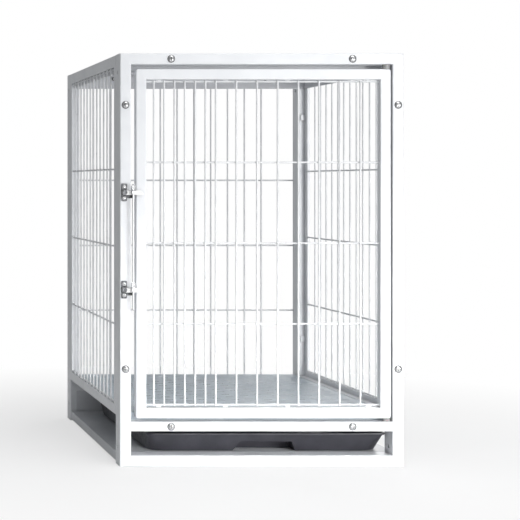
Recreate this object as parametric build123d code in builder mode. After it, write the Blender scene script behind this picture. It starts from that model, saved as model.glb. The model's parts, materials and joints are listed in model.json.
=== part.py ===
"""Modular veterinary kennel cage: powder-coated tube frames, welded wire panels, a hinged wire
door with two linked gravity latches, a lift-out floor grate and a pull-out waste tray.

Millimetres. +X is the cage's right side seen from the front, +Y runs to the back, +Z is up.
The origin is the centre of the base, so the door faces -Y."""

import os

from build123d import *

os.makedirs("parts", exist_ok=True)

# ---- Driving dimensions ---------------------------------------------------------------------
CAGE_W = 610.0  # 24 in over the frames
CAGE_H = 889.0  # 35 in
CAGE_D = 711.0  # 28 in
FRONT_Y = -CAGE_D / 2
BACK_Y = CAGE_D / 2

WALL = 1.5  # tube wall and sheet thickness
EDGE_R = 2.4  # outside corner radius of the tubes
STILE_W = 24.0  # upright tubes of the front and back frames
FRAME_DEEP = 50.0
TOP_RAIL_H = 24.0
BASE_RAIL_H = 24.0
CROSS_Z = 76.0  # underside of the rail between the cabin and the tray bay
CROSS_H = 21.0
OPEN_W = CAGE_W - 2 * STILE_W
CABIN_Z = CROSS_Z + CROSS_H
CABIN_TOP = CAGE_H - TOP_RAIL_H

WIRE_R = 2.0
WELD = 0.2  # how far crossing wires melt into each other
WIRE_CROSSING = 2 * WIRE_R - WELD  # between the centre lines of crossing wires
WIRE_STEP = 43.6

DOOR_LEFT = -270.5
DOOR_RIGHT = 277.5
DOOR_Z = 104.0
DOOR_TOP = 855.0
DOOR_TUBE = 22.5
DOOR_DEEP = 22.0
DOOR_STEP = 44.5  # pitch of the door's upright wires
DOOR_FIRST_WIRE = 17.5  # from the latch stile to the first upright
DOOR_LOW_GAP = 3.5  # between the door's lowest level wire and its bottom rail
DOOR_HIGH_GAP = 1.7  # between the door's highest level wire and its top rail

PIN_R = 4.0
BUSH_R = 6.0
BUSH_BORE_R = BUSH_R + 0.02
RUN_GAP = 0.05  # radial running clearance
HINGE_X = DOOR_RIGHT - 8.5
HINGE_Y = FRONT_Y + 7.5

SCREW_R = 2.5
SCREW_HEAD_R = 7.1
SCREW_HEAD_H = 3.2
RAIL_SCREW_L = 59.0
STILE_SCREW_L = 54.0
SCREW_X = 195.0  # screws in the top and cross rails
STILE_SCREW_Z = (210.0, 778.0)
NUT_FLATS = 8.0
NUT_H = 4.0
JOIN_R = 4.5  # clearance for M8 bolts between neighbouring cages
JOIN_Z = (40.0, CAGE_H - 40.0)
DRAIN_R = 2.0

PANEL_T = 7.5  # side panel frames
PANEL_Z = 105.0
PANEL_RAIL = 25.0  # top rail of a side panel
PANEL_FOOT = 21.0  # bottom rail of a side panel
PANEL_STILE = 20.0
PANEL_IN_X = CAGE_W / 2 - PANEL_T
INNER_FRONT_Y = FRONT_Y + FRAME_DEEP
INNER_BACK_Y = BACK_Y - FRAME_DEEP
INNER_D = INNER_BACK_Y - INNER_FRONT_Y

ROOF_SKIRT = 37.0
PAN_Z = 4.0
FLOOR_T = 18.0
FLOOR_TOP = CABIN_Z + FLOOR_T
GRATE_W = 558.0
LEDGE_T = 3.0

TRAY_X = 20.0  # the loose tray stands right of centre
TRAY_Z = BASE_RAIL_H + 0.3
TRAY_H = 42.7
TRAY_T = 2.5
TRAY_BASE_W = 506.0
TRAY_LIP = 3.0
TRAY_BASE_Y0 = FRONT_Y + 62.0
TRAY_BASE_Y1 = FRONT_Y + 618.0
TRAY_SIDE_DRAFT = 4.0
TRAY_END_DRAFT = 29.0  # the front and back walls lean out much further than the sides

LATCH_X = -296.5
LATCH_Z = (381.0, 590.0)  # lower and upper latch pivots
LATCH_PLATE_W = 12.4
LATCH_PLATE_H = 38.0
LATCH_PLATE_CORNER = 2.4
LATCH_PLATE_T = 2.0
LATCH_SCREW_DZ = 11.6
LATCH_SCREW_R = 1.55
LATCH_HEAD_R = 4.6
LATCH_HEAD_H = 1.7
LEVER_FRONT = 4.0  # lever's back face, in front of the frame
LEVER_T = 5.0
ROD_X = -279.2
ROD_R = 2.2
ROD_OUT = 13.6  # rod's centre line, in front of the frame
ROD_Z0 = 340.0
ROD_Z1 = 608.0


def ahead(distance):
    """The upright plane this far in front of the cage's front face, facing the viewer."""
    return Plane.XZ.offset(-FRONT_Y + distance)


def centred(count, step):
    """Positions of count things at this pitch, centred on zero."""
    return [step * (i - (count - 1) / 2) for i in range(count)]


# ---- Front frame: welded rectangular tube with a cabin opening and a tray bay ----------------
RAILS = ((0.0, BASE_RAIL_H), (CROSS_Z, CROSS_H), (CABIN_TOP, TOP_RAIL_H))


def frame_outline():
    """The front view of a front or back frame: a rectangle with its two openings."""
    with BuildSketch(Plane.XZ) as outline:
        with Locations((0, CAGE_H / 2)):
            Rectangle(CAGE_W, CAGE_H)
        for bottom, top in ((BASE_RAIL_H, CROSS_Z), (CABIN_Z, CABIN_TOP)):
            with Locations((0, (bottom + top) / 2)):
                Rectangle(OPEN_W, top - bottom, mode=Mode.SUBTRACT)
    return outline.sketch


def frame_cavity():
    """The hollow inside the tubes of a front or back frame, as one joined space."""
    with BuildSketch(Plane.XZ) as hollow:
        for x in (-(CAGE_W - STILE_W) / 2, (CAGE_W - STILE_W) / 2):
            with Locations((x, CAGE_H / 2)):
                Rectangle(STILE_W - 2 * WALL, CAGE_H - 2 * WALL)
        for bottom, height in RAILS:
            with Locations((0, bottom + height / 2)):
                Rectangle(CAGE_W - STILE_W, height - 2 * WALL)
    return hollow.sketch


CROSS_MID_Z = CROSS_Z + CROSS_H / 2
TOP_SCREW_Z = CAGE_H - TOP_RAIL_H / 2
STILE_CENTRE_X = (CAGE_W - STILE_W) / 2
RAIL_SCREWS = [(x, z) for x in (-SCREW_X, SCREW_X) for z in (CROSS_MID_Z, TOP_SCREW_Z)]
STILE_SCREWS = [(x, z) for x in (-STILE_CENTRE_X, STILE_CENTRE_X) for z in STILE_SCREW_Z]
FRAME_SCREWS = RAIL_SCREWS + STILE_SCREWS
SCREW_HOLE_R = SCREW_R + 0.1

with BuildPart() as front_frame:
    extrude(frame_outline().moved(Location((0, FRONT_Y, 0))), amount=-FRAME_DEEP)
    rim_edges = front_frame.edges().filter_by(Axis.Y, reverse=True).group_by(Axis.Y)
    fillet(rim_edges[0] + rim_edges[-1], EDGE_R)
    extrude(frame_cavity().moved(Location((0, FRONT_Y + WALL, 0))),
            amount=-(FRAME_DEEP - 2 * WALL), mode=Mode.SUBTRACT)
    with BuildSketch(ahead(1)):
        with Locations(*FRAME_SCREWS):
            Circle(SCREW_HOLE_R)
    extrude(amount=-(FRAME_DEEP + 2), mode=Mode.SUBTRACT)
    with BuildSketch(ahead(1)):
        for pivot_z in LATCH_Z:
            with Locations((LATCH_X, pivot_z - LATCH_SCREW_DZ), (LATCH_X, pivot_z + LATCH_SCREW_DZ)):
                Circle(LATCH_SCREW_R + 0.05)
    extrude(amount=-(WALL + 2), mode=Mode.SUBTRACT)
    with BuildSketch(Plane.YZ.offset(-CAGE_W / 2 - 1)):
        with Locations(*[(FRONT_Y + FRAME_DEEP / 2, z) for z in JOIN_Z]):
            Circle(JOIN_R)
    extrude(amount=CAGE_W + 2, mode=Mode.SUBTRACT)
    with BuildSketch(Plane.XY.offset(CROSS_Z - 1)):
        with Locations((HINGE_X, HINGE_Y)):
            Circle(PIN_R + RUN_GAP)
    extrude(amount=CAGE_H, mode=Mode.SUBTRACT)
front_frame.part.label = "front_frame"
export_step(front_frame.part, "parts/front_frame.step")

# ---- Back frame: the same weldment, without hinge and latch holes ----------------------------
with BuildPart() as back_frame:
    extrude(frame_outline().moved(Location((0, INNER_BACK_Y, 0))), amount=-FRAME_DEEP)
    rim_edges = back_frame.edges().filter_by(Axis.Y, reverse=True).group_by(Axis.Y)
    fillet(rim_edges[0] + rim_edges[-1], EDGE_R)
    extrude(frame_cavity().moved(Location((0, INNER_BACK_Y + WALL, 0))),
            amount=-(FRAME_DEEP - 2 * WALL), mode=Mode.SUBTRACT)
    with BuildSketch(Plane.XZ.offset(-BACK_Y - 1)):
        with Locations(*FRAME_SCREWS):
            Circle(SCREW_HOLE_R)
    extrude(amount=FRAME_DEEP + 2, mode=Mode.SUBTRACT)
    with BuildSketch(Plane.YZ.offset(-CAGE_W / 2 - 1)):
        with Locations(*[(BACK_Y - FRAME_DEEP / 2, z) for z in JOIN_Z]):
            Circle(JOIN_R)
    extrude(amount=CAGE_W + 2, mode=Mode.SUBTRACT)
back_frame.part.label = "back_frame"
export_step(back_frame.part, "parts/back_frame.step")

# ---- Back wire panel, welded inside the back frame's cabin opening ----------------------------
BACK_WIRE_Y = BACK_Y - 11.0
BACK_WIRE_Z = (CABIN_Z + 3, 280.0, 448.0, 617.0, CABIN_TOP - 3)
with BuildPart() as back_wires:
    with BuildSketch(Plane.XY.offset(CABIN_Z)):
        with Locations(*[(x, BACK_WIRE_Y) for x in centred(12, WIRE_STEP)]):
            Circle(WIRE_R)
    extrude(amount=CABIN_TOP - CABIN_Z)
    with BuildSketch(Plane.YZ.offset(-OPEN_W / 2)):
        with Locations(*[(BACK_WIRE_Y + WIRE_CROSSING, z) for z in BACK_WIRE_Z]):
            Circle(WIRE_R)
    extrude(amount=OPEN_W)
back_wires.part.label = "back_wires"
export_step(back_wires.part, "parts/back_wires.step")

# ---- Side panels: a thin tube frame with a floor ledge and four blind-tapped lugs --------------
LUG_W = 12.0
LUG_H = 14.0
LUG_T = 5.5
PANEL_H = CAGE_H - PANEL_Z
PANEL_MID_X = CAGE_W / 2 - PANEL_T / 2
LEDGE_IN_X = GRATE_W / 2 + 1.5
PANEL_OPEN_Z0 = PANEL_Z + PANEL_FOOT
PANEL_OPEN_Z1 = CAGE_H - PANEL_RAIL
PANEL_OPEN_H = PANEL_OPEN_Z1 - PANEL_OPEN_Z0
PANEL_OPEN_MID = (PANEL_OPEN_Z0 + PANEL_OPEN_Z1) / 2

with BuildPart() as right_panel_frame:
    with BuildSketch(Plane.YZ.offset(PANEL_IN_X)):
        with Locations((0, PANEL_Z + PANEL_H / 2)):
            Rectangle(INNER_D, PANEL_H)
        with Locations((0, PANEL_OPEN_MID)):
            Rectangle(INNER_D - 2 * PANEL_STILE, PANEL_OPEN_H, mode=Mode.SUBTRACT)
    extrude(amount=PANEL_T)
    rim_edges = right_panel_frame.edges().filter_by(Axis.X, reverse=True).group_by(Axis.X)
    fillet(rim_edges[0] + rim_edges[-1], 1.2)
    with BuildSketch(Plane.YZ.offset(PANEL_IN_X + WALL)):
        with Locations((0, PANEL_Z + PANEL_H / 2)):
            Rectangle(INNER_D - 2 * WALL, PANEL_H - 2 * WALL)
        with Locations((0, PANEL_OPEN_MID)):
            Rectangle(INNER_D - 2 * (PANEL_STILE - WALL), PANEL_OPEN_H + 2 * WALL, mode=Mode.SUBTRACT)
    extrude(amount=PANEL_T - 2 * WALL, mode=Mode.SUBTRACT)
    with BuildSketch(Plane.XY.offset(PANEL_Z - 1)):
        with Locations(*[(PANEL_MID_X, y) for y in (-INNER_D / 3, INNER_D / 3)]):
            Circle(DRAIN_R)
    extrude(amount=WALL + 2, mode=Mode.SUBTRACT)
    with BuildSketch(Plane.XY.offset(FLOOR_TOP - LEDGE_T)):
        with Locations(((LEDGE_IN_X + PANEL_IN_X) / 2, 0)):
            Rectangle(PANEL_IN_X - LEDGE_IN_X, INNER_D)
    extrude(amount=LEDGE_T)
    for seat_y, inward in ((INNER_FRONT_Y, -1), (INNER_BACK_Y, 1)):
        with BuildSketch(Plane.XZ.offset(-seat_y)):
            with Locations(*[(PANEL_IN_X - LUG_W / 2, z) for z in STILE_SCREW_Z]):
                Rectangle(LUG_W, LUG_H)
        extrude(amount=inward * LUG_T)
        with BuildSketch(Plane.XZ.offset(-seat_y)):
            with Locations(*[(STILE_CENTRE_X, z) for z in STILE_SCREW_Z]):
                Circle(SCREW_HOLE_R)
        extrude(amount=inward * (STILE_SCREW_L + 0.3 - FRAME_DEEP), mode=Mode.SUBTRACT)
right_panel_frame.part.label = "right_panel_frame"
export_step(right_panel_frame.part, "parts/right_panel_frame.step")

with BuildPart() as left_panel_frame:
    add(mirror(right_panel_frame.part, about=Plane.YZ, mode=Mode.PRIVATE))
left_panel_frame.part.label = "left_panel_frame"
export_step(left_panel_frame.part, "parts/left_panel_frame.step")

# ---- Side wire panels --------------------------------------------------------------------------
SIDE_WIRE_X = PANEL_IN_X + 5.5
SIDE_WIRE_Z = (PANEL_OPEN_Z0 + 3, 300.0, 471.0, 640.0, PANEL_OPEN_Z1 - 3)
with BuildPart() as right_panel_wires:
    with BuildSketch(Plane.XY.offset(PANEL_OPEN_Z0)):
        with Locations(*[(SIDE_WIRE_X, y) for y in centred(12, WIRE_STEP)]):
            Circle(WIRE_R)
    extrude(amount=PANEL_OPEN_H)
    with BuildSketch(Plane.XZ.offset(-INNER_FRONT_Y - PANEL_STILE)):
        with Locations(*[(SIDE_WIRE_X - WIRE_CROSSING, z) for z in SIDE_WIRE_Z]):
            Circle(WIRE_R)
    extrude(amount=-(INNER_D - 2 * PANEL_STILE))
right_panel_wires.part.label = "right_panel_wires"
export_step(right_panel_wires.part, "parts/right_panel_wires.step")

with BuildPart() as left_panel_wires:
    add(mirror(right_panel_wires.part, about=Plane.YZ, mode=Mode.PRIVATE))
left_panel_wires.part.label = "left_panel_wires"
export_step(left_panel_wires.part, "parts/left_panel_wires.step")

# ---- Roof: a folded sheet pan, open underneath -------------------------------------------------
ROOF_W = 2 * PANEL_IN_X - 1.0
with BuildPart() as roof_pan:
    with Locations((0, 0, CAGE_H - ROOF_SKIRT / 2)):
        Box(ROOF_W, INNER_D, ROOF_SKIRT)
    fillet(roof_pan.edges().group_by(Axis.Z)[-1], EDGE_R)
    offset(amount=-WALL, openings=roof_pan.faces().sort_by(Axis.Z)[0])
    with BuildSketch(Plane.XZ.offset(-INNER_FRONT_Y + 1)):
        with Locations((-SCREW_X, TOP_SCREW_Z), (SCREW_X, TOP_SCREW_Z)):
            Circle(SCREW_HOLE_R)
    extrude(amount=-(INNER_D + 2), mode=Mode.SUBTRACT)
roof_pan.part.label = "roof_pan"
export_step(roof_pan.part, "parts/roof_pan.step")

# ---- Bottom pan: the sheet the tray slides on, with a foot channel under its middle -------------
FOOT_W = 60.0
with BuildPart() as bottom_pan:
    with Locations((0, 0, (PAN_Z + BASE_RAIL_H) / 2)):
        Box(CAGE_W - 4, INNER_D, BASE_RAIL_H - PAN_Z)
    offset(amount=-WALL, openings=bottom_pan.faces().sort_by(Axis.Z)[0])
    with Locations((0, 0, (BASE_RAIL_H - WALL / 2) / 2)):
        Box(FOOT_W, INNER_D - 2 * WALL, BASE_RAIL_H - WALL / 2)
    with Locations((0, 0, BASE_RAIL_H / 2)):
        Box(FOOT_W - 2 * WALL, INNER_D + 2, BASE_RAIL_H - 2 * WALL, mode=Mode.SUBTRACT)
bottom_pan.part.label = "bottom_pan"
export_step(bottom_pan.part, "parts/bottom_pan.step")

# ---- Tray stop: a strip that closes the back of the tray bay -----------------------------------
with BuildPart() as tray_stop:
    with Locations((0, INNER_BACK_Y - WALL / 2, (BASE_RAIL_H + CROSS_Z) / 2)):
        Box(OPEN_W + 16, WALL, CROSS_Z - BASE_RAIL_H)
    fillet(tray_stop.edges().filter_by(Axis.Y), 4)
tray_stop.part.label = "tray_stop"
export_step(tray_stop.part, "parts/tray_stop.step")

# ---- Grate supports: two tubes between the cross rails, with end plates for the screws ----------
SUPPORT_W = 20.0
with BuildPart() as grate_supports:
    with Locations(*[(x, 0, CROSS_MID_Z) for x in (-SCREW_X, SCREW_X)]):
        Box(SUPPORT_W, INNER_D, CROSS_H)
        Box(SUPPORT_W - 2 * WALL, INNER_D - 2 * WALL, CROSS_H - 2 * WALL, mode=Mode.SUBTRACT)
    with BuildSketch(Plane.XZ.offset(-INNER_FRONT_Y + 1)):
        with Locations(*[(x, CROSS_MID_Z) for x in (-SCREW_X, SCREW_X)]):
            Circle(SCREW_HOLE_R)
    extrude(amount=-(INNER_D + 2), mode=Mode.SUBTRACT)
grate_supports.part.label = "grate_supports"
export_step(grate_supports.part, "parts/grate_supports.step")

# ---- Floor grate: a moulded slotted floor that lifts out ---------------------------------------
GRATE_Y0 = FRONT_Y + 28.0
GRATE_Y1 = BACK_Y - 20.0
GRATE_MID_Y = (GRATE_Y0 + GRATE_Y1) / 2
SLOT_L = 58.0
SLOT_W = 8.0
SLOT_PITCH_X = 75.0
SLOT_PITCH_Y = 22.0
SLOT_ROWS = 14  # of each kind: full rows, and rows shifted by half a slot
SHORT_SLOT_L = 28.0
SHORT_SLOT_X = 247.5
with BuildPart() as floor_grate:
    with Locations((0, GRATE_MID_Y, CABIN_Z + FLOOR_T / 2)):
        Box(GRATE_W, GRATE_Y1 - GRATE_Y0, FLOOR_T)
    fillet(floor_grate.edges().filter_by(Axis.Z), 8)
    fillet(floor_grate.edges().group_by(Axis.Z)[-1], 2.5)
    with BuildSketch(Plane.XY.offset(CABIN_Z - 1)):
        with Locations((0, GRATE_MID_Y - SLOT_PITCH_Y / 2)):
            with GridLocations(SLOT_PITCH_X, 2 * SLOT_PITCH_Y, 7, SLOT_ROWS):
                SlotOverall(SLOT_L, SLOT_W)
        with Locations((0, GRATE_MID_Y + SLOT_PITCH_Y / 2)):
            with GridLocations(SLOT_PITCH_X, 2 * SLOT_PITCH_Y, 6, SLOT_ROWS):
                SlotOverall(SLOT_L, SLOT_W)
            with GridLocations(2 * SHORT_SLOT_X, 2 * SLOT_PITCH_Y, 2, SLOT_ROWS):
                SlotOverall(SHORT_SLOT_L, SLOT_W)
    extrude(amount=FLOOR_T + 2, mode=Mode.SUBTRACT)
floor_grate.part.label = "floor_grate"
export_step(floor_grate.part, "parts/floor_grate.step")

# ---- Waste tray: drafted pan with a rolled lip and a finger scoop under its front ---------------
TRAY_TOP = TRAY_Z + TRAY_H
TRAY_MID_Y = (TRAY_BASE_Y0 + TRAY_BASE_Y1) / 2
TRAY_BASE_L = TRAY_BASE_Y1 - TRAY_BASE_Y0
TRAY_BASE_R = 40.0
TRAY_MOUTH_R = 12.0
TRAY_LIP_T = 3.0
SCOOP_X = TRAY_X + 2.0
SCOOP_FOOT_W = 138.0
SCOOP_TOP_W = 112.0
SCOOP_H = 23.0
SCOOP_FOOT_Y = TRAY_BASE_Y0 + 41.0
SCOOP_TOP_Y = TRAY_BASE_Y0 + 30.0


def tray_section(height, inset):
    """The tray's plan at this height above its base, inset from its outer wall."""
    rise = height / TRAY_H
    width = TRAY_BASE_W + 2 * (TRAY_SIDE_DRAFT * rise - inset)
    length = TRAY_BASE_L + 2 * (TRAY_END_DRAFT * rise - inset)
    radius = TRAY_BASE_R + (TRAY_MOUTH_R - TRAY_BASE_R) * rise - inset
    with BuildSketch(Plane.XY.offset(TRAY_Z + height)) as plan:
        with Locations((TRAY_X, TRAY_MID_Y)):
            RectangleRounded(width, length, radius)
    return plan.sketch


def scoop_section(height, wall):
    """The finger scoop's plan at this height above the tray's base, grown by this wall."""
    rise = height / SCOOP_H
    width = SCOOP_FOOT_W + (SCOOP_TOP_W - SCOOP_FOOT_W) * rise + 2 * wall
    back_y = SCOOP_FOOT_Y + (SCOOP_TOP_Y - SCOOP_FOOT_Y) * rise + wall
    mouth_y = TRAY_BASE_Y0 - TRAY_END_DRAFT - 10
    with BuildSketch(Plane.XY.offset(TRAY_Z + height)) as plan:
        with Locations((SCOOP_X, (mouth_y + back_y) / 2)):
            Rectangle(width, back_y - mouth_y)
    return plan.sketch


def scoop(wall):
    """The space of the finger scoop under the tray's front, grown by this wall."""
    return loft([scoop_section(-5, wall), scoop_section(SCOOP_H + wall, wall)])


tray_inside = loft([tray_section(TRAY_T, TRAY_T), tray_section(TRAY_H + 1, TRAY_T)]) - scoop(TRAY_T)
with BuildPart() as waste_tray:
    loft([tray_section(0, 0), tray_section(TRAY_H, 0)])
    fillet(waste_tray.edges().group_by(Axis.Z)[0], 5)
    with BuildSketch(Plane.XY.offset(TRAY_TOP - TRAY_LIP_T)):
        with Locations((TRAY_X, TRAY_MID_Y)):
            RectangleRounded(TRAY_BASE_W + 2 * (TRAY_SIDE_DRAFT + TRAY_LIP),
                             TRAY_BASE_L + 2 * (TRAY_END_DRAFT + TRAY_LIP), TRAY_MOUTH_R + TRAY_LIP)
    extrude(amount=TRAY_LIP_T)
    add(scoop(0), mode=Mode.SUBTRACT)
    add(tray_inside, mode=Mode.SUBTRACT)
waste_tray.part.label = "waste_tray"
export_step(waste_tray.part, "parts/waste_tray.step")

# ---- Door frame: a ring of rounded tube, bored for its two hinge bushes ------------------------
DOOR_W = DOOR_RIGHT - DOOR_LEFT
DOOR_H = DOOR_TOP - DOOR_Z
DOOR_MID = ((DOOR_LEFT + DOOR_RIGHT) / 2, (DOOR_Z + DOOR_TOP) / 2)
with BuildPart() as door_frame:
    with BuildSketch(ahead(0)):
        with Locations(DOOR_MID):
            RectangleRounded(DOOR_W, DOOR_H, 5)
            Rectangle(DOOR_W - 2 * DOOR_TUBE, DOOR_H - 2 * DOOR_TUBE, mode=Mode.SUBTRACT)
    extrude(amount=-DOOR_DEEP)
    rim_edges = door_frame.edges().filter_by(Axis.Y, reverse=True).group_by(Axis.Y)
    fillet(rim_edges[0] + rim_edges[-1], EDGE_R)
    with BuildSketch(ahead(-WALL)):
        with Locations(DOOR_MID):
            Rectangle(DOOR_W - 2 * WALL, DOOR_H - 2 * WALL)
            Rectangle(DOOR_W - 2 * (DOOR_TUBE - WALL), DOOR_H - 2 * (DOOR_TUBE - WALL),
                      mode=Mode.SUBTRACT)
    extrude(amount=-(DOOR_DEEP - 2 * WALL), mode=Mode.SUBTRACT)
    with BuildSketch(Plane.XY.offset(DOOR_Z - 1)):
        with Locations((HINGE_X, HINGE_Y)):
            Circle(BUSH_BORE_R)
    extrude(amount=DOOR_TUBE + 1, mode=Mode.SUBTRACT)
    with BuildSketch(Plane.XY.offset(DOOR_TOP - DOOR_TUBE)):
        with Locations((HINGE_X, HINGE_Y)):
            Circle(BUSH_BORE_R)
    extrude(amount=DOOR_TUBE + 1, mode=Mode.SUBTRACT)
door_frame.part.label = "door_frame"
export_step(door_frame.part, "parts/door_frame.step")

# ---- Door wires: uprights close together beside the latches ------------------------------------
DOOR_WIRE_Y = FRONT_Y + 9.0
DOOR_WIRE_X0 = DOOR_LEFT + DOOR_TUBE + DOOR_FIRST_WIRE
door_wire_x = [DOOR_WIRE_X0 + DOOR_STEP * i for i in range(11)]
door_wire_x += [DOOR_WIRE_X0 + DOOR_STEP * (i + 0.5) for i in range(3)]
DOOR_WIRE_LOW = DOOR_Z + DOOR_TUBE + DOOR_LOW_GAP + WIRE_R
DOOR_WIRE_HIGH = DOOR_TOP - DOOR_TUBE - DOOR_HIGH_GAP - WIRE_R
DOOR_WIRE_Z = [DOOR_WIRE_LOW + i * (DOOR_WIRE_HIGH - DOOR_WIRE_LOW) / 4 for i in range(5)]
with BuildPart() as door_wires:
    with BuildSketch(Plane.XY.offset(DOOR_WIRE_LOW - WIRE_R)):
        with Locations(*[(x, DOOR_WIRE_Y) for x in door_wire_x]):
            Circle(WIRE_R)
    extrude(amount=DOOR_WIRE_HIGH - DOOR_WIRE_LOW + 2 * WIRE_R)
    with BuildSketch(Plane.YZ.offset(DOOR_LEFT + DOOR_TUBE)):
        with Locations(*[(DOOR_WIRE_Y + WIRE_CROSSING, z) for z in DOOR_WIRE_Z]):
            Circle(WIRE_R)
    extrude(amount=DOOR_W - 2 * DOOR_TUBE)
door_wires.part.label = "door_wires"
export_step(door_wires.part, "parts/door_wires.step")

# ---- Door mesh tabs: small lugs that weld the end wires to the door's rails --------------------
MESH_TAB_X = (-219.4, -74.8, 58.8, 233.0)
MESH_TAB_W = 10.0
MESH_TAB_T = 4.0
with BuildPart() as mesh_tabs:
    for tab_z, tab_h in ((DOOR_Z + DOOR_TUBE + DOOR_LOW_GAP / 2, DOOR_LOW_GAP),
                         (DOOR_TOP - DOOR_TUBE - DOOR_HIGH_GAP / 2, DOOR_HIGH_GAP)):
        with Locations(*[(x, DOOR_WIRE_Y + 2 * WIRE_R, tab_z) for x in MESH_TAB_X]):
            Box(MESH_TAB_W, MESH_TAB_T, tab_h)
mesh_tabs.part.label = "mesh_tabs"
export_step(mesh_tabs.part, "parts/mesh_tabs.step")

# ---- Hinge pins in the frame, and flanged bushes in the door ------------------------------------
LOW_PIN_Z = (CROSS_Z, DOOR_Z + DOOR_TUBE)
HIGH_PIN_Z = (DOOR_TOP - DOOR_TUBE, CAGE_H)
with BuildPart() as hinge_pins:
    for low, high in (LOW_PIN_Z, HIGH_PIN_Z):
        with BuildSketch(Plane.XY.offset(low + 0.3)):
            with Locations((HINGE_X, HINGE_Y)):
                Circle(PIN_R)
        extrude(amount=high - low - 0.6)
    chamfer(hinge_pins.edges().filter_by(GeomType.CIRCLE), 0.6)
hinge_pins.part.label = "hinge_pins"
export_step(hinge_pins.part, "parts/hinge_pins.step")

BUSH_FLANGE_R = 8.0
# Each bush: bottom of its barrel in the door, bottom and height of its flange in the gap, and
# bottom of the short neck that joins the two
LOW_BUSH = (DOOR_Z, CABIN_Z + 0.3, DOOR_Z - CABIN_Z - 0.35, DOOR_Z - 0.5)
HIGH_BUSH = (DOOR_TOP - DOOR_TUBE, DOOR_TOP + 0.05, 9.6, DOOR_TOP - 0.5)
with BuildPart() as hinge_bushes:
    for barrel_z, flange_z, flange_h, join_z in (LOW_BUSH, HIGH_BUSH):
        for z, radius, height in ((barrel_z, BUSH_R, DOOR_TUBE), (flange_z, BUSH_FLANGE_R, flange_h),
                                  (join_z, BUSH_R, 1.0)):
            with BuildSketch(Plane.XY.offset(z)):
                with Locations((HINGE_X, HINGE_Y)):
                    Circle(radius)
            extrude(amount=height)
    with BuildSketch(Plane.XY.offset(CABIN_Z)):
        with Locations((HINGE_X, HINGE_Y)):
            Circle(PIN_R + RUN_GAP)
    extrude(amount=CAGE_H, mode=Mode.SUBTRACT)
hinge_bushes.part.label = "hinge_bushes"
export_step(hinge_bushes.part, "parts/hinge_bushes.step")

# ---- Latch brackets: a plate on the stile with an ear for the rest bumper -----------------------
EAR_DZ = -9.0
EAR_END_X = -275.6
EAR_W = 7.0
LATCH_HOLE_R = 2.0
LEVER_EYE_R = 5.6
BUMPER_R = 2.9


def latch_bracket(pivot_z):
    with BuildPart() as bracket:
        with BuildSketch(ahead(0)):
            with Locations((LATCH_X, pivot_z)):
                RectangleRounded(LATCH_PLATE_W, LATCH_PLATE_H, LATCH_PLATE_CORNER)
            with Locations(((LATCH_X + EAR_END_X) / 2, pivot_z + EAR_DZ)):
                SlotOverall(EAR_END_X - LATCH_X, EAR_W)
        extrude(amount=LATCH_PLATE_T)
        with BuildSketch(ahead(LATCH_PLATE_T)):
            with Locations((LATCH_X, pivot_z)):
                Circle(LEVER_EYE_R)
        extrude(amount=LEVER_FRONT - 0.2 - LATCH_PLATE_T)
        with BuildSketch(ahead(-1)):
            with Locations((LATCH_X, pivot_z)):
                Circle(SCREW_R)
            with Locations((LATCH_X, pivot_z - LATCH_SCREW_DZ), (LATCH_X, pivot_z + LATCH_SCREW_DZ)):
                Circle(LATCH_HOLE_R)
        extrude(amount=LEVER_FRONT + 2, mode=Mode.SUBTRACT)
    return bracket.part


lower_latch_bracket = latch_bracket(LATCH_Z[0])
lower_latch_bracket.label = "lower_latch_bracket"
export_step(lower_latch_bracket, "parts/lower_latch_bracket.step")
upper_latch_bracket = latch_bracket(LATCH_Z[1])
upper_latch_bracket.label = "upper_latch_bracket"
export_step(upper_latch_bracket, "parts/upper_latch_bracket.step")

# ---- Latch pivots: shoulder rivets through the brackets -----------------------------------------
PIVOT_R = SCREW_R - 0.02
PIVOT_HEAD_R = 5.6
PIVOT_HEAD_H = 1.6
with BuildPart() as latch_pivots:
    for pivot_z in LATCH_Z:
        with BuildSketch(ahead(0.1)):
            with Locations((LATCH_X, pivot_z)):
                Circle(PIVOT_R)
        extrude(amount=LEVER_FRONT + LEVER_T)
        with BuildSketch(ahead(LEVER_FRONT + LEVER_T + 0.1)):
            with Locations((LATCH_X, pivot_z)):
                Circle(PIVOT_HEAD_R)
        extrude(amount=PIVOT_HEAD_H)
    fillet(latch_pivots.edges().group_by(Axis.Y)[0], 0.8)
latch_pivots.part.label = "latch_pivots"
export_step(latch_pivots.part, "parts/latch_pivots.step")

# ---- Rest bumpers: rubber posts the levers drop onto --------------------------------------------
with BuildPart() as rest_bumpers:
    with BuildSketch(ahead(LATCH_PLATE_T)):
        with Locations(*[(ROD_X, z + EAR_DZ - 0.4) for z in LATCH_Z]):
            Circle(BUMPER_R)
    extrude(amount=7.0)
    fillet(rest_bumpers.edges().group_by(Axis.Y)[0], 0.8)
rest_bumpers.part.label = "rest_bumpers"
export_step(rest_bumpers.part, "parts/rest_bumpers.step")

# ---- Latch levers: a root eye, a waist at the rod, and a beak over the door's stile ---------------
LEVER_EDGE_R = 1.2
BEAK_PAD_OUT = 32.5  # centre of the pad, out from the pivot
PAD_GAP = 0.8  # between the pad and the door

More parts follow.
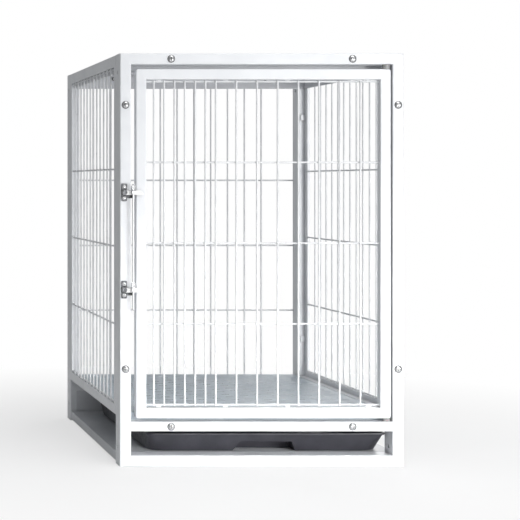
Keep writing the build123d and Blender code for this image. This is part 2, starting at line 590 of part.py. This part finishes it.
# One lever, with its pivot's seat on the frame at the origin
with BuildPart() as lever:
    with BuildSketch(Plane.XZ.offset(LEVER_FRONT)):
        with BuildLine():
            ThreePointArc((0, LEVER_EYE_R), (13.0, 3.4), (25.0, 4.4))
            ThreePointArc((25.0, 4.4), (35.8, 2.8), (40.9, -2.4))
            ThreePointArc((40.9, -2.4), (40.2, -5.2), (37.5, -6.2))
            Line((37.5, -6.2), (0, -LEVER_EYE_R))
            ThreePointArc((0, -LEVER_EYE_R), (-LEVER_EYE_R, 0), (0, LEVER_EYE_R))
        make_face()
    extrude(amount=LEVER_T)
    fillet(lever.edges().group_by(Axis.Y)[0], LEVER_EDGE_R)
    with BuildSketch(Plane.XZ.offset(PAD_GAP)):
        with Locations((BEAK_PAD_OUT, -1.8)):
            RectangleRounded(8.0, 6.4, 2.0)
    extrude(amount=LEVER_FRONT - PAD_GAP)
    with BuildSketch(Plane.XZ.offset(LEVER_FRONT - 1)):
        Circle(PIVOT_R + RUN_GAP)
        with Locations((ROD_X - LATCH_X, 0)):
            Circle(ROD_R + 0.1)
    extrude(amount=LEVER_T + 2, mode=Mode.SUBTRACT)

for node, pivot_z in zip(("lower_latch_lever", "upper_latch_lever"), LATCH_Z):
    placed = lever.part.moved(Location((LATCH_X, FRONT_Y, pivot_z)))
    placed.label = node
    export_step(placed, f"parts/{node}.step")

# ---- Link rod with its swivel studs and the wire loops above the studs --------------------------
ROD_LINE = (ROD_X, FRONT_Y - ROD_OUT)
with BuildPart() as link_rod:
    with BuildSketch(Plane.XY.offset(ROD_Z0)):
        with Locations(ROD_LINE):
            Circle(ROD_R)
    extrude(amount=ROD_Z1 - ROD_Z0)
    with Locations((*ROD_LINE, ROD_Z0)):
        Sphere(3.4)
link_rod.part.label = "link_rod"
export_step(link_rod.part, "parts/link_rod.step")

STUD_HEAD_R = 4.2
with BuildPart() as rod_studs:
    for pivot_z in LATCH_Z:
        with BuildSketch(ahead(LEVER_FRONT - 0.6)):
            with Locations((ROD_X, pivot_z)):
                Circle(ROD_R)
        extrude(amount=LEVER_T + 1.2)
        with BuildSketch(ahead(LEVER_FRONT + LEVER_T + 0.4)):
            with Locations((ROD_X, pivot_z)):
                Circle(STUD_HEAD_R)
        extrude(amount=ROD_OUT + ROD_R + 1.2 - LEVER_FRONT - LEVER_T - 0.4)
    fillet(rod_studs.edges().group_by(Axis.Y)[0], 1.0)
    with BuildSketch(Plane.XY.offset(ROD_Z0)):
        with Locations(ROD_LINE):
            Circle(ROD_R + 0.03)
    extrude(amount=ROD_Z1 - ROD_Z0, mode=Mode.SUBTRACT)
rod_studs.part.label = "rod_studs"
export_step(rod_studs.part, "parts/rod_studs.step")

CLIP_W = 7.2
CLIP_H = 13.0
CLIP_WIRE_R = 0.8
CLIP_DZ = 11.0  # above the lever
with BuildPart() as rod_clip:
    with BuildSketch(ahead(ROD_OUT + ROD_R + CLIP_WIRE_R + 0.05)):
        with Locations(*[(ROD_X, z + CLIP_DZ) for z in LATCH_Z]):
            SlotOverall(CLIP_H, CLIP_W, rotation=90)
            SlotOverall(CLIP_H - 3.2, CLIP_W - 3.2, rotation=90, mode=Mode.SUBTRACT)
    extrude(amount=CLIP_WIRE_R, both=True)
    fillet(rod_clip.edges().filter_by(Axis.Y, reverse=True), 0.5)
rod_clip.part.label = "rod_clip"
export_step(rod_clip.part, "parts/rod_clip.step")

# ---- Door stops behind the latch stile, with rubber pads -----------------------------------------
STOP_H = 26.0
STOP_REACH = 22.0
STOP_Y = FRONT_Y + DOOR_DEEP + 2.0
with BuildPart() as door_stops:
    for stop_z in LATCH_Z:
        with BuildSketch(Plane.XY.offset(stop_z - STOP_H / 2)):
            with BuildLine():
                Polyline((-OPEN_W / 2, STOP_Y), (-OPEN_W / 2 + STOP_REACH, STOP_Y),
                         (-OPEN_W / 2 + STOP_REACH, STOP_Y + 2), (-OPEN_W / 2 + 2, STOP_Y + 2),
                         (-OPEN_W / 2 + 2, STOP_Y + 18), (-OPEN_W / 2, STOP_Y + 18), close=True)
            make_face()
        extrude(amount=STOP_H)
door_stops.part.label = "door_stops"
export_step(door_stops.part, "parts/door_stops.step")

with BuildPart() as stop_pads:
    with Locations(*[(-OPEN_W / 2 + 16, FRONT_Y + DOOR_DEEP + 1.1, z) for z in LATCH_Z]):
        Box(9, 1.8, 18)
    fillet(stop_pads.edges().group_by(Axis.Y)[0], 0.6)
stop_pads.part.label = "stop_pads"
export_step(stop_pads.part, "parts/stop_pads.step")

# ---- Fasteners -------------------------------------------------------------------------------------


def cross_screw(head_r, head_h, shank_r, shank_l):
    """A pan-head screw along -Z from its seat at the origin, with a cross recess in its head."""
    with BuildPart() as screw:
        with BuildSketch(Plane.XZ):
            with BuildLine():
                Polyline((0, -shank_l), (shank_r - 0.4, -shank_l), (shank_r, -shank_l + 0.4),
                         (shank_r, 0), (head_r, 0), (head_r, 0.25 * head_h))
                ThreePointArc((head_r, 0.25 * head_h), (0.72 * head_r, 0.82 * head_h), (0, head_h))
                Line((0, head_h), (0, -shank_l))
            make_face()
        revolve(axis=Axis.Z)
        with BuildSketch(Plane.XY.offset(0.4 * head_h)):
            Rectangle(1.05 * head_r, 0.2 * head_r)
            Rectangle(0.2 * head_r, 1.05 * head_r)
        extrude(amount=head_h, mode=Mode.SUBTRACT)
    return screw.part


FACING_FRONT = (90, 0, 0)
FACING_BACK = (-90, 0, 0)
rail_screw = cross_screw(SCREW_HEAD_R, SCREW_HEAD_H, SCREW_R, RAIL_SCREW_L)
stile_screw = cross_screw(SCREW_HEAD_R, SCREW_HEAD_H, SCREW_R, STILE_SCREW_L)
for node, seat_y, turn in (("front_screws", FRONT_Y, FACING_FRONT),
                           ("back_screws", BACK_Y, FACING_BACK)):
    placed = [rail_screw.moved(Location((x, seat_y, z), turn)) for x, z in RAIL_SCREWS]
    placed += [stile_screw.moved(Location((x, seat_y, z), turn)) for x, z in STILE_SCREWS]
    screws = Compound(children=placed)
    screws.label = node
    export_step(screws, f"parts/{node}.step")

latch_screw = cross_screw(LATCH_HEAD_R, LATCH_HEAD_H, LATCH_SCREW_R, 8.0)
places = [Location((LATCH_X, FRONT_Y - LATCH_PLATE_T, z + dz), FACING_FRONT)
          for z in LATCH_Z for dz in (-LATCH_SCREW_DZ, LATCH_SCREW_DZ)]
latch_screws = Compound(children=[latch_screw.moved(place) for place in places])
latch_screws.label = "latch_screws"
export_step(latch_screws, "parts/latch_screws.step")


with BuildPart() as frame_nuts:
    for plane_y, nut_h in ((INNER_FRONT_Y + WALL, NUT_H), (INNER_BACK_Y - WALL, -NUT_H)):
        with BuildSketch(Plane.XZ.offset(-plane_y)):
            with Locations(*RAIL_SCREWS):
                RegularPolygon(NUT_FLATS / 2, 6, major_radius=False, rotation=30)
                Circle(SCREW_R + 0.02, mode=Mode.SUBTRACT)
        extrude(amount=-nut_h)
frame_nuts.part.label = "frame_nuts"
export_step(frame_nuts.part, "parts/frame_nuts.step")
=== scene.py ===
"""Looks of the kennel cage: finishes for every CAD node, the small formed details that the CAD
leaves plain, a pale studio floor, soft light and the camera. Metres, in the row frame."""

import json
import math

import bmesh
import bpy
from mathutils import Matrix, Vector, noise


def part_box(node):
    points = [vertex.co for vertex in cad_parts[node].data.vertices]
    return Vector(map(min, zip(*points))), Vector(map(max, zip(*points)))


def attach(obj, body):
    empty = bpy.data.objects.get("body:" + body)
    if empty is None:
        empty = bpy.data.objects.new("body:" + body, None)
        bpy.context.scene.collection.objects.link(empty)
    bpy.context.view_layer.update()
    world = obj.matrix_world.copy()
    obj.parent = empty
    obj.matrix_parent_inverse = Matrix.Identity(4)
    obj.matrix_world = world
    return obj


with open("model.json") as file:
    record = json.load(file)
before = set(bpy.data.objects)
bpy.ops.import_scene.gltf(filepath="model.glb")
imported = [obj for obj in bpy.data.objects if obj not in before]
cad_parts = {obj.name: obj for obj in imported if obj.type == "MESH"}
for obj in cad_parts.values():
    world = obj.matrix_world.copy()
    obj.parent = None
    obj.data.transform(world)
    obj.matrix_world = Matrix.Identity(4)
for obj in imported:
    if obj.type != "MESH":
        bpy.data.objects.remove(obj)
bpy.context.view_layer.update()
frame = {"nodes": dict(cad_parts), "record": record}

nodes = frame["nodes"]

front_low, front_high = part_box("front_frame")
FRONT_Y = front_low.y
CAGE_W = front_high.x - front_low.x
CAGE_H = front_high.z


# ---- Materials ---------------------------------------------------------------------------------

class Finish:
    """A principled material with helpers that add procedural detail in the row frame's metres."""

    def __init__(self, name, color, roughness, metallic=0.0):
        self.material = bpy.data.materials.new(name)
        self.material.use_nodes = True
        self.tree = self.material.node_tree
        self.bsdf = self.tree.nodes["Principled BSDF"]
        self.bsdf.inputs["Base Color"].default_value = (*color, 1.0)
        self.bsdf.inputs["Roughness"].default_value = roughness
        self.bsdf.inputs["Metallic"].default_value = metallic
        self.coords = self.tree.nodes.new("ShaderNodeTexCoord")
        self.height = None

    def noise(self, scale, detail=3.0, stretch=(1.0, 1.0, 1.0), rough=0.5):
        mapping = self.tree.nodes.new("ShaderNodeMapping")
        mapping.inputs["Scale"].default_value = stretch
        self.tree.links.new(self.coords.outputs["Object"], mapping.inputs["Vector"])
        texture = self.tree.nodes.new("ShaderNodeTexNoise")
        texture.inputs["Scale"].default_value = scale
        texture.inputs["Detail"].default_value = detail
        texture.inputs["Roughness"].default_value = rough
        self.tree.links.new(mapping.outputs["Vector"], texture.inputs["Vector"])
        return texture.outputs["Fac"]

    def voronoi(self, scale, feature="F1"):
        texture = self.tree.nodes.new("ShaderNodeTexVoronoi")
        texture.feature = feature
        texture.inputs["Scale"].default_value = scale
        self.tree.links.new(self.coords.outputs["Object"], texture.inputs["Vector"])
        return texture.outputs["Distance"]

    def remap(self, value, low, high, to_low, to_high):
        node = self.tree.nodes.new("ShaderNodeMapRange")
        for name, number in (("From Min", low), ("From Max", high), ("To Min", to_low), ("To Max", to_high)):
            node.inputs[name].default_value = number
        self.tree.links.new(value, node.inputs["Value"])
        return node.outputs["Result"]

    def mix_color(self, factor, color):
        """Blends another colour over what the base colour is so far."""
        node = self.tree.nodes.new("ShaderNodeMix")
        node.data_type = "RGBA"
        base = self.bsdf.inputs["Base Color"]
        if base.is_linked:
            self.tree.links.new(base.links[0].from_socket, node.inputs["A"])
        else:
            node.inputs["A"].default_value = base.default_value
        node.inputs["B"].default_value = (*color, 1.0)
        self.tree.links.new(factor, node.inputs["Factor"])
        self.tree.links.new(node.outputs["Result"], base)
        return self

    def vary_color(self, color, scale, low=0.4, high=0.65, **kw):
        return self.mix_color(self.remap(self.noise(scale, **kw), low, high, 0.0, 1.0), color)

    def vary_roughness(self, scale, low, high, **kw):
        value = self.remap(self.noise(scale, **kw), 0.3, 0.7, low, high)
        self.tree.links.new(value, self.bsdf.inputs["Roughness"])
        return self

    def bump(self, value, distance, strength=1.0):
        """Adds surface relief on top of any relief so far."""
        node = self.tree.nodes.new("ShaderNodeBump")
        node.inputs["Distance"].default_value = distance
        node.inputs["Strength"].default_value = strength
        self.tree.links.new(value, node.inputs["Height"])
        normal = self.bsdf.inputs["Normal"]
        if normal.is_linked:
            self.tree.links.new(normal.links[0].from_socket, node.inputs["Normal"])
        self.tree.links.new(node.outputs["Normal"], normal)
        return self

    def painted_crevice_shade(self, color, reach, amount):
        """Painted shade: darkens the colour in inside corners within this reach, by ambient occlusion."""
        node = self.tree.nodes.new("ShaderNodeAmbientOcclusion")
        node.samples = 4
        node.inputs["Distance"].default_value = reach
        return self.mix_color(self.remap(node.outputs["AO"], 0.25, 0.95, amount, 0.0), color)


def powder_coat(name, color, shade, roughness=0.36):
    """Baked powder coat: orange-peel skin, faint cloudiness, a little painted shade in the corners."""
    finish = Finish(name, color, roughness)
    finish.vary_color(shade, 9.0)
    # painted shade: colour darkened towards half the cloud colour in corners and gaps
    finish.painted_crevice_shade(tuple(c * 0.5 for c in shade), 0.009, 0.5)
    finish.vary_roughness(60.0, roughness - 0.06, roughness + 0.08)
    finish.bump(finish.noise(520.0, detail=2.0), 0.00012, 0.6)
    finish.bsdf.inputs["Coat Weight"].default_value = 0.15
    finish.bsdf.inputs["Coat Roughness"].default_value = 0.2
    return finish.material


def wire_coat():
    """Thinner coat drawn smooth over wire, slightly glossier than the tube."""
    finish = Finish("white_wire", (0.83, 0.84, 0.85), 0.3)
    finish.vary_color((0.74, 0.75, 0.765), 30.0)
    finish.vary_roughness(120.0, 0.24, 0.4)
    finish.bump(finish.noise(700.0, detail=2.0), 0.00008, 0.5)
    return finish.material


def bright_steel():
    finish = Finish("steel", (0.72, 0.725, 0.73), 0.2, metallic=1.0)
    finish.vary_color((0.5, 0.5, 0.51), 700.0, detail=4.0)
    # painted shade: near-black in recesses and inside corners
    finish.painted_crevice_shade((0.01, 0.01, 0.011), 0.006, 1.0)
    finish.vary_roughness(900.0, 0.18, 0.42)
    finish.bump(finish.noise(1500.0, stretch=(1, 1, 0.15)), 0.00004, 0.5)
    return finish.material


def dull_zinc():
    """Zinc plate gone dull, with darker blotches."""
    finish = Finish("zinc", (0.17, 0.175, 0.185), 0.42, metallic=1.0)
    finish.vary_color((0.07, 0.072, 0.075), 260.0, detail=5.0, low=0.42, high=0.58)
    # painted shade: near-black in inside corners
    finish.painted_crevice_shade((0.012, 0.012, 0.013), 0.005, 0.9)
    finish.vary_roughness(500.0, 0.3, 0.6)
    finish.bump(finish.noise(1100.0, detail=4.0), 0.00006, 0.6)
    return finish.material


def coated_rod():
    finish = Finish("rod", (0.78, 0.785, 0.79), 0.26, metallic=0.35)
    finish.vary_color((0.62, 0.63, 0.64), 400.0)
    finish.bump(finish.noise(900.0, stretch=(1, 1, 0.1)), 0.00005, 0.5)
    return finish.material


def moulded_plastic(name, color, shade, roughness, grain_scale, grain_depth):
    """Moulded plastic with a fine leathery grain and cloudy colour."""
    finish = Finish(name, color, roughness)
    finish.vary_color(shade, 14.0)
    finish.vary_roughness(80.0, roughness - 0.07, roughness + 0.1)
    finish.bump(finish.voronoi(grain_scale), grain_depth, 0.7)
    finish.bump(finish.noise(grain_scale * 0.4, detail=3.0), grain_depth, 0.4)
    return finish.material


def floor_plastic():
    """Blue-grey floor: fine grain, pale scuffs and a little painted shade in the slots."""
    finish = Finish("grate_plastic", (0.49, 0.55, 0.60), 0.45)
    finish.vary_color((0.54, 0.59, 0.635), 7.0)
    finish.vary_color((0.6, 0.64, 0.68), 45.0, low=0.56, high=0.75, stretch=(1, 3, 1))
    # painted shade: slots darkened a little by ambient occlusion
    finish.painted_crevice_shade((0.2, 0.215, 0.23), 0.004, 0.15)
    finish.vary_roughness(90.0, 0.38, 0.6)
    finish.bump(finish.voronoi(900.0), 0.00015, 0.6)
    return finish.material


def soft_rubber():
    finish = Finish("rubber", (0.018, 0.018, 0.018), 0.6)
    finish.vary_color((0.045, 0.045, 0.043), 300.0)
    finish.bump(finish.noise(1200.0, detail=3.0), 0.00008, 0.6)
    return finish.material


def natural_nylon():
    finish = Finish("nylon", (0.34, 0.345, 0.35), 0.4)
    finish.vary_color((0.25, 0.25, 0.25), 220.0)
    finish.bsdf.inputs["Subsurface Weight"].default_value = 0.15
    finish.bsdf.inputs["Subsurface Scale"].default_value = 0.002
    finish.bump(finish.noise(1000.0), 0.00006, 0.5)
    return finish.material


finishes = {
    "white_frame": powder_coat("white_frame", (0.84, 0.855, 0.875), (0.78, 0.795, 0.82)),
    "white_wire": wire_coat(),
    "grey_sheet": powder_coat("grey_sheet", (0.66, 0.67, 0.695), (0.61, 0.62, 0.645), 0.4),
    "steel": bright_steel(),
    "zinc": dull_zinc(),
    "rod": coated_rod(),
    "rubber": soft_rubber(),
    "nylon": natural_nylon(),
    "white_plastic": moulded_plastic("white_plastic", (0.86, 0.86, 0.855), (0.8, 0.8, 0.79), 0.3,
                                     1500.0, 0.00004),
    "grate_plastic": floor_plastic(),
    "tray_plastic": moulded_plastic("tray_plastic", (0.04, 0.04, 0.049), (0.058, 0.058, 0.07), 0.42,
                                    1100.0, 0.00018),
}


def paint_cad_nodes():
    for entry in frame["record"]["subparts"]:
        node = nodes[entry["node"]]
        node.data.materials.clear()
        node.data.materials.append(finishes[entry["material_slot"]])


paint_cad_nodes()


# ---- Weld beads --------------------------------------------------------------------------------

WIRE_R = 0.002
STILE_W = 0.024
DOOR_TUBE = 0.0225
BEAD_R = 0.0031
HEAD_R = 0.0071
RAIL_SCREW_X = 0.195
STILE_SCREW_Z = (0.210, 0.778)
DOOR_PITCH = 0.0445
DOOR_FIRST_WIRE = 0.0175
PANEL_PITCH = 0.0436
BACK_WIRE_Z = (0.100, 0.280, 0.448, 0.617, 0.862)
SIDE_WIRE_Z = (0.129, 0.300, 0.471, 0.640, 0.861)
BAY_Z = (0.024, 0.076)
CABIN_Z = (0.097, 0.865)
FRAME_LEG = 0.0016  # the grate stands 2 mm off the stiles, so the bead stays smaller
DOOR_LEG = 0.0028


def link_piece(name, mesh, finish, body):
    """Turns a bmesh into a smooth-shaded piece that rides on this body."""
    data = bpy.data.meshes.new(name)
    mesh.to_mesh(data)
    mesh.free()
    for polygon in data.polygons:
        polygon.use_smooth = True
    data.materials.append(finishes[finish])
    piece = bpy.data.objects.new(name, data)
    bpy.context.scene.collection.objects.link(piece)
    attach(piece, body)
    return piece


def bead_piece(name, body, finish, spots):
    """Lumpy weld beads as one piece. Each spot is a centre and three radii."""
    mesh = bmesh.new()
    for centre, radii in spots:
        placed = Matrix.Translation(centre) @ Matrix.Diagonal((*radii, 1.0))
        bead = bmesh.ops.create_icosphere(mesh, subdivisions=2, radius=1.0, matrix=placed)
        for vertex in bead["verts"]:
            lump = noise.noise(vertex.co * 700.0)
            vertex.co += (vertex.co - Vector(centre)) * 0.22 * lump
    return link_piece(name, mesh, finish, body)


def steps(first, pitch, count):
    return [first + pitch * i for i in range(count)]


def centred(count, pitch):
    return steps(-pitch * (count - 1) / 2, pitch, count)


def door_welds():
    """Wires crossing on the door, and their ends on its stiles."""
    low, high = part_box("door_wires")
    first = low.x + DOOR_FIRST_WIRE
    wires_x = steps(first, DOOR_PITCH, 11) + steps(first + DOOR_PITCH / 2, DOOR_PITCH, 3)
    wires_z = steps(low.z + WIRE_R, (high.z - low.z - 2 * WIRE_R) / 4, 5)
    cross_y = low.y + 2 * WIRE_R
    rail_y = high.y - WIRE_R
    spots = [((x, cross_y, z), (0.0024, 0.0016, 0.0024)) for x in wires_x for z in wires_z]
    for x in (low.x, high.x):
        spots += [((x, rail_y, z), (0.0022, BEAD_R, BEAD_R)) for z in wires_z]
    bead_piece("door_welds", "door", "white_wire", spots)


def back_welds():
    low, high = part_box("back_wires")
    wires_x = centred(12, PANEL_PITCH)
    spots = [((x, low.y + 2 * WIRE_R, z), (0.0024, 0.0016, 0.0024)) for x in wires_x for z in BACK_WIRE_Z]
    for x in (low.x, high.x):
        spots += [((x, high.y - WIRE_R, z), (0.0022, BEAD_R, BEAD_R)) for z in BACK_WIRE_Z]
    for z in (low.z, high.z):
        spots += [((x, low.y + WIRE_R, z), (BEAD_R, BEAD_R, 0.0022)) for x in wires_x]
    bead_piece("back_welds", "cage", "white_wire", spots)


def side_welds(side):
    low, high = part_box(f"{side}_panel_wires")
    wires_y = centred(12, PANEL_PITCH)
    outer, inner = (high.x, low.x) if side == "right" else (low.x, high.x)
    outward = math.copysign(1.0, outer)
    upright_x = outer - outward * WIRE_R
    level_x = inner + outward * WIRE_R
    middle = (upright_x + level_x) / 2
    spots = [((middle, y, z), (0.0016, 0.0024, 0.0024)) for y in wires_y for z in SIDE_WIRE_Z]
    for y in (low.y, high.y):
        spots += [((level_x, y, z), (BEAD_R * 0.8, 0.0022, BEAD_R)) for z in SIDE_WIRE_Z]
    for z in (low.z, high.z):
        spots += [((upright_x, y, z), (0.0019, BEAD_R, 0.0022)) for y in wires_y]
    bead_piece(f"{side}_welds", "cage", "white_wire", spots)


def corner_fillet(mesh, corner, toward, y_span, leg):
    """A concave weld fillet in an inside corner, with a slightly rippled face."""
    rows = []
    count = 24
    turns = 5
    for i in range(count + 1):
        y = y_span[0] + (y_span[1] - y_span[0]) * i / count
        ripple = 1.0 + 0.12 * math.sin(i * 2.4)
        row = [mesh.verts.new((corner[0] - toward[0] * 0.0006, y, corner[1] - toward[1] * 0.0006))]
        for j in range(turns + 1):
            angle = j / turns * math.pi / 2
            reach_x = leg * ripple * (1 - math.sin(angle))
            reach_z = leg * ripple * (1 - math.cos(angle))
            row.append(mesh.verts.new((corner[0] + toward[0] * reach_x, y, corner[1] + toward[1] * reach_z)))
        rows.append(row)
    size = turns + 2
    for near, far in zip(rows, rows[1:]):
        for j in range(size):
            k = (j + 1) % size
            mesh.faces.new((near[j], near[k], far[k], far[j]))
    mesh.faces.new(rows[0])
    mesh.faces.new(list(reversed(rows[-1])))


def frame_welds(name, body, node, openings, leg, inset):
    """Fillets where rails butt against stiles, in every inside corner of these openings."""
    low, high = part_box(node)
    mesh = bmesh.new()
    for left, right, bottom, top in openings:
        for x, along in ((left, 1), (right, -1)):
            for z, up in ((bottom, 1), (top, -1)):
                corner_fillet(mesh, (x, z), (along, up), (low.y + inset, high.y - inset), leg)
    bmesh.ops.recalc_face_normals(mesh, faces=mesh.faces)
    link_piece(name, mesh, "white_frame", body)


def ring(mesh, centre, radius, thick, around, across=6):
    """A thin ring flat on a plane that faces along Y."""
    rows = []
    for i in range(around):
        turn = 2 * math.pi * i / around
        row = []
        for j in range(across):
            roll = 2 * math.pi * j / across
            reach = radius + thick * math.cos(roll)
            point = (centre[0] + reach * math.cos(turn), centre[1] + thick * math.sin(roll),
                     centre[2] + reach * math.sin(turn))
            row.append(mesh.verts.new(point))
        rows.append(row)
    for i in range(around):
        near, far = rows[i], rows[(i + 1) % around]
        for j in range(across):
            k = (j + 1) % across
            mesh.faces.new((near[j], far[j], far[k], near[k]))


def screw_shade_rings():
    """Painted shade: thin dark rubber rings that stand in for the shade line round the heads of the frame
    screws.
    """
    for name, screws, face in (("front_screw_shade_rings", "front_screws", "front_frame"),
                               ("back_screw_shade_rings", "back_screws", "back_frame")):
        low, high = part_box(screws)
        stile_x = CAGE_W / 2 - STILE_W / 2
        spots = [(x, z) for x in (-RAIL_SCREW_X, RAIL_SCREW_X) for z in (low.z + HEAD_R, high.z - HEAD_R)]
        spots += [(x, z) for x in (-stile_x, stile_x) for z in STILE_SCREW_Z]
        frame_low, frame_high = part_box(face)
        y = frame_low.y - 0.0004 if face == "front_frame" else frame_high.y + 0.0004
        mesh = bmesh.new()
        for x, z in spots:
            # each ring is painted shade round one screw head
            ring(mesh, (x, y, z), HEAD_R + 0.0004, 0.0006, 40)
        link_piece(name, mesh, "rubber", "cage")


def all_welds():
    door_welds()
    back_welds()
    side_welds("right")
    side_welds("left")
    half_open = CAGE_W / 2 - STILE_W
    openings = ((-half_open, half_open, *BAY_Z), (-half_open, half_open, *CABIN_Z))
    frame_welds("front_frame_welds", "cage", "front_frame", openings, FRAME_LEG, 0.003)
    frame_welds("back_frame_welds", "cage", "back_frame", openings, FRAME_LEG, 0.003)
    low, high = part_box("door_frame")
    door_opening = ((low.x + DOOR_TUBE, high.x - DOOR_TUBE, low.z + DOOR_TUBE, high.z - DOOR_TUBE),)
    frame_welds("door_frame_welds", "door", "door_frame", door_opening, DOOR_LEG, 0.0025)


all_welds()
# dark rings painted in as the shade round the screw heads
screw_shade_rings()


# ---- Stage -------------------------------------------------------------------------------------

def studio_floor():
    """A pale floor whose far part fades into the white background, like seamless paper."""
    size = 60.0
    mesh = bpy.data.meshes.new("studio_floor")
    corners = [(-size, -size, 0), (size, -size, 0), (size, size, 0), (-size, size, 0)]
    mesh.from_pydata(corners, [], [(0, 1, 2, 3)])
    floor = bpy.data.objects.new("studio_floor", mesh)
    bpy.context.scene.collection.objects.link(floor)
    paper = Finish("paper", (0.8, 0.8, 0.8), 0.8)
    paper.vary_color((0.78, 0.78, 0.78), 3.0)
    tree = paper.tree
    glow = tree.nodes.new("ShaderNodeEmission")
    glow.inputs["Color"].default_value = (1.0, 1.0, 1.0, 1.0)
    distance = tree.nodes.new("ShaderNodeVectorMath")
    distance.operation = "LENGTH"
    tree.links.new(paper.coords.outputs["Object"], distance.inputs[0])
    far = paper.remap(distance.outputs["Value"], 0.45, 1.5, 0.62, 1.0)
    path = tree.nodes.new("ShaderNodeLightPath")
    seen = tree.nodes.new("ShaderNodeMath")
    seen.operation = "MULTIPLY"
    tree.links.new(far, seen.inputs[0])
    tree.links.new(path.outputs["Is Camera Ray"], seen.inputs[1])
    mix = tree.nodes.new("ShaderNodeMixShader")
    tree.links.new(seen.outputs["Value"], mix.inputs["Fac"])
    tree.links.new(paper.bsdf.outputs["BSDF"], mix.inputs[1])
    tree.links.new(glow.outputs["Emission"], mix.inputs[2])
    tree.links.new(mix.outputs["Shader"], tree.nodes["Material Output"].inputs["Surface"])
    mesh.materials.append(paper.material)


def soft_box(name, place, target, size, power, spread=180.0):
    data = bpy.data.lights.new(name, "AREA")
    data.shape = "RECTANGLE"
    data.size, data.size_y = size
    data.energy = power
    data.spread = math.radians(spread)
    light = bpy.data.objects.new(name, data)
    light.location = place
    light.rotation_euler = (Vector(target) - Vector(place)).to_track_quat("-Z", "Y").to_euler()
    bpy.context.scene.collection.objects.link(light)


def studio_world():
    """White where the camera looks past the cage, dimmer where it lights and is mirrored."""
    world = bpy.data.worlds.new("studio")
    world.use_nodes = True
    tree = world.node_tree
    dim = tree.nodes["Background"]
    dim.inputs["Color"].default_value = (0.97, 0.985, 1.0, 1.0)
    dim.inputs["Strength"].default_value = 0.33
    white = tree.nodes.new("ShaderNodeBackground")
    white.inputs["Color"].default_value = (1.0, 1.0, 1.0, 1.0)
    path = tree.nodes.new("ShaderNodeLightPath")
    mix = tree.nodes.new("ShaderNodeMixShader")
    tree.links.new(path.outputs["Is Camera Ray"], mix.inputs["Fac"])
    tree.links.new(dim.outputs["Background"], mix.inputs[1])
    tree.links.new(white.outputs["Background"], mix.inputs[2])
    tree.links.new(mix.outputs["Shader"], tree.nodes["World Output"].inputs["Surface"])
    bpy.context.scene.world = world
    bpy.context.scene.view_settings.view_transform = "Standard"


def studio_light():
    middle = (0, 0, CAGE_H / 2)
    soft_box("key", (2.3, FRONT_Y - 4.0, 0.6), (0, FRONT_Y, 0.3), (1.3, 1.0), 80)
    soft_box("low_fill", (0.6, FRONT_Y - 1.9, 0.12), (0.1, FRONT_Y, 0.3), (1.8, 0.3), 10)
    soft_box("bay_light", (0.25, FRONT_Y - 1.6, 0.72), (0.05, FRONT_Y, 0.08), (1.2, 0.16), 1.6, 40.0)
    soft_box("overhead", (0.5, -0.9, 2.9), middle, (1.8, 1.8), 30)
    soft_box("back", (1.6, 2.6, 1.2), middle, (1.6, 1.4), 20)
    studio_world()


def photo_camera():
    """A view-camera set-up: it looks straight along +Y from left of the cage, with its film
    plane shifted sideways so that the front stays square. The shift holds only at this station,
    so that a camera moved round the cage looks straight at it."""
    data = bpy.data.cameras.new("camera")
    camera = bpy.data.objects.new("camera", data)
    bpy.context.scene.collection.objects.link(camera)
    distance = 3.367
    side = -0.954
    camera.location = (side, FRONT_Y - distance, 0.610)
    camera.rotation_euler = (math.pi / 2, 0, 0)
    data.lens = 108.47
    data.sensor_width = 36.0
    data.clip_start = 0.05
    for channel, amount in (("shift_x", 0.85), ("shift_y", -0.148)):
        driver = data.driver_add(channel).driver
        driver.type = "SCRIPTED"
        variable = driver.variables.new()
        variable.name = "x"
        variable.type = "TRANSFORMS"
        variable.targets[0].id = camera
        variable.targets[0].transform_type = "LOC_X"
        variable.targets[0].transform_space = "WORLD_SPACE"
        driver.expression = f"{amount} * (abs(x - {side}) < 0.001)"
    bpy.context.scene.camera = camera


studio_floor()
studio_light()
photo_camera()
